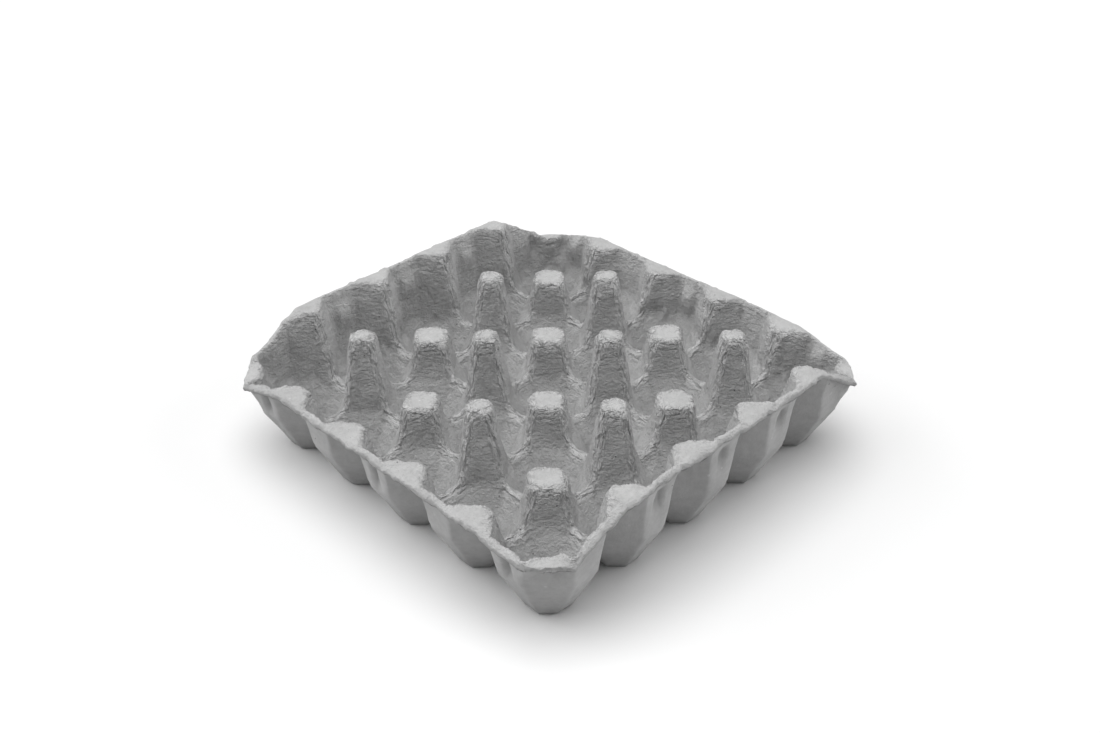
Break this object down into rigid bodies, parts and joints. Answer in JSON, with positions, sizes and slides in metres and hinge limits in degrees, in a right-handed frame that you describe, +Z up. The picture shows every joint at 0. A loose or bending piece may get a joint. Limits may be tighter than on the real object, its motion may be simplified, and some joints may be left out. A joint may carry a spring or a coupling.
{
  "type": "moulded pulp egg tray",
  "caption": "Square tray of moulded grey paper pulp: a grid of octagonal cups between tapered posts, with two low and two high sides, that holds eggs upright and stacks.",
  "frame": {"origin": "under the middle cup, on the plane of the cups' feet", "axes": "+Z up out of the cups; the two low sides face +X and -X, the two high sides +Y and -Y"},
  "size_m": [0.2538, 0.2568, 0.068],
  "materials": {
    "pulp": "rough matt moulded pulp"
  },
  "bodies": {
    "root": {"egg_tray": "pulp"}
  },
  "joints": []
}
